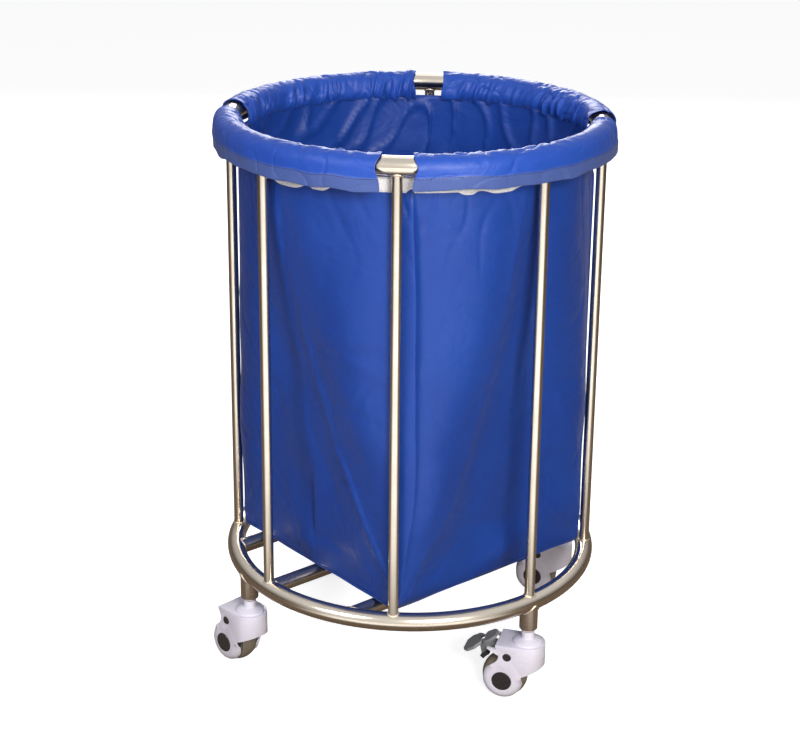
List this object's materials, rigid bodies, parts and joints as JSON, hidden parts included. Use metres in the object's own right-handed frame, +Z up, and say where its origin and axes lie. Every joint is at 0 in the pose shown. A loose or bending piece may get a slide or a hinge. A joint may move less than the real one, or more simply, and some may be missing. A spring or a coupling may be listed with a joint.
{
  "type": "linen trolley",
  "caption": "Round stainless cage on hooded swivel casters with an open blue cloth bag sleeved over its top ring, for collecting soiled linen.",
  "frame": {"origin": "on the floor under the centre of the rings", "axes": "+Z up, +X along the base bars, +Y across them"},
  "size_m": [0.5512, 0.555, 0.7866],
  "materials": {
    "stainless_steel": "polished stainless tube, slightly warm",
    "zinc_steel": "bright zinc plate",
    "bag_cloth": "royal blue coated oxford cloth, fine plain weave, low sheen",
    "hook_tape": "white hook-and-loop tape",
    "hood_plastic": "white moulded nylon, soft gloss",
    "wheel_plastic": "white moulded wheel centre",
    "tread_rubber": "grey thermoplastic rubber tread, matt",
    "black_plastic": "black moulded cap, satin",
    "pedal_plastic": "dark grey moulded nylon",
    "shoe_rubber": "black rubber",
    "bush_nylon": "natural nylon"
  },
  "bodies": {
    "frame": {"top_ring": "stainless_steel", "bottom_ring": "stainless_steel", "upright_1": "stainless_steel", "upright_2": "stainless_steel", "upright_3": "stainless_steel", "upright_4": "stainless_steel", "upright_5": "stainless_steel", "upright_6": "stainless_steel", "upright_7": "stainless_steel", "upright_8": "stainless_steel", "base_bar_1": "stainless_steel", "base_bar_2": "stainless_steel", "base_bar_3": "stainless_steel", "caster_sockets": "stainless_steel", "socket_nuts": "zinc_steel", "swivel_stems": "zinc_steel", "bag_floor": "bag_cloth", "bag_wall_1": "bag_cloth", "ring_sleeve_1": "bag_cloth", "bag_wall_2": "bag_cloth", "ring_sleeve_2": "bag_cloth", "bag_wall_3": "bag_cloth", "ring_sleeve_3": "bag_cloth", "bag_wall_4": "bag_cloth", "ring_sleeve_4": "bag_cloth", "hook_loop_strip": "hook_tape"},
    "fork_1": {"hood_1": "hood_plastic", "swivel_bearing_1": "zinc_steel", "axle_set_1": "zinc_steel", "cover_caps_1": "black_plastic"},
    "wheel_1": {"wheel_core_1": "wheel_plastic", "wheel_bush_1": "bush_nylon", "tyre_1": "tread_rubber"},
    "pedal_1": {"brake_pedal_1": "pedal_plastic", "brake_shoe_1": "shoe_rubber"},
    "fork_2": {"hood_2": "hood_plastic", "swivel_bearing_2": "zinc_steel", "axle_set_2": "zinc_steel", "cover_caps_2": "black_plastic"},
    "wheel_2": {"wheel_core_2": "wheel_plastic", "wheel_bush_2": "bush_nylon", "tyre_2": "tread_rubber"},
    "fork_3": {"hood_3": "hood_plastic", "swivel_bearing_3": "zinc_steel", "axle_set_3": "zinc_steel", "cover_caps_3": "black_plastic"},
    "wheel_3": {"wheel_core_3": "wheel_plastic", "wheel_bush_3": "bush_nylon", "tyre_3": "tread_rubber"},
    "pedal_3": {"brake_pedal_3": "pedal_plastic", "brake_shoe_3": "shoe_rubber"},
    "fork_4": {"hood_4": "hood_plastic", "swivel_bearing_4": "zinc_steel", "axle_set_4": "zinc_steel", "cover_caps_4": "black_plastic"},
    "wheel_4": {"wheel_core_4": "wheel_plastic", "wheel_bush_4": "bush_nylon", "tyre_4": "tread_rubber"}
  },
  "joints": [
    {"name": "swivel_1", "type": "hinge", "parent": "frame", "child": "fork_1", "pos_m": [0, -0.253, 0.0765], "axis": [0, 0, 1], "continuous": true},
    {"name": "wheel_spin_1", "type": "hinge", "parent": "fork_1", "child": "wheel_1", "pos_m": [-0.01678, -0.22813, 0.0315], "axis": [-0.829, -0.5592, 0], "continuous": true},
    {"name": "brake_1", "type": "hinge", "parent": "fork_1", "child": "pedal_1", "pos_m": [-0.01314, -0.23352, 0.069], "axis": [-0.829, -0.5592, 0], "range_deg": [0, 8]},
    {"name": "swivel_2", "type": "hinge", "parent": "frame", "child": "fork_2", "pos_m": [-0.24652, 0.05691, 0.0765], "axis": [0, 0, 1], "continuous": true},
    {"name": "wheel_spin_2", "type": "hinge", "parent": "fork_2", "child": "wheel_2", "pos_m": [-0.24965, 0.08675, 0.0315], "axis": [-0.9945, -0.1045, 0], "continuous": true},
    {"name": "swivel_3", "type": "hinge", "parent": "frame", "child": "fork_3", "pos_m": [0, 0.253, 0.0765], "axis": [0, 0, 1], "continuous": true},
    {"name": "wheel_spin_3", "type": "hinge", "parent": "fork_3", "child": "wheel_3", "pos_m": [0.02819, 0.24274, 0.0315], "axis": [0.342, 0.9397, 0], "continuous": true},
    {"name": "brake_3", "type": "hinge", "parent": "fork_3", "child": "pedal_3", "pos_m": [0.02208, 0.24496, 0.069], "axis": [0.342, 0.9397, 0], "range_deg": [0, 8]},
    {"name": "swivel_4", "type": "hinge", "parent": "frame", "child": "fork_4", "pos_m": [0.24652, -0.05691, 0.0765], "axis": [0, 0, 1], "continuous": true},
    {"name": "wheel_spin_4", "type": "hinge", "parent": "fork_4", "child": "wheel_4", "pos_m": [0.23106, -0.0312, 0.0315], "axis": [-0.8572, -0.515, 0], "continuous": true}
  ]
}
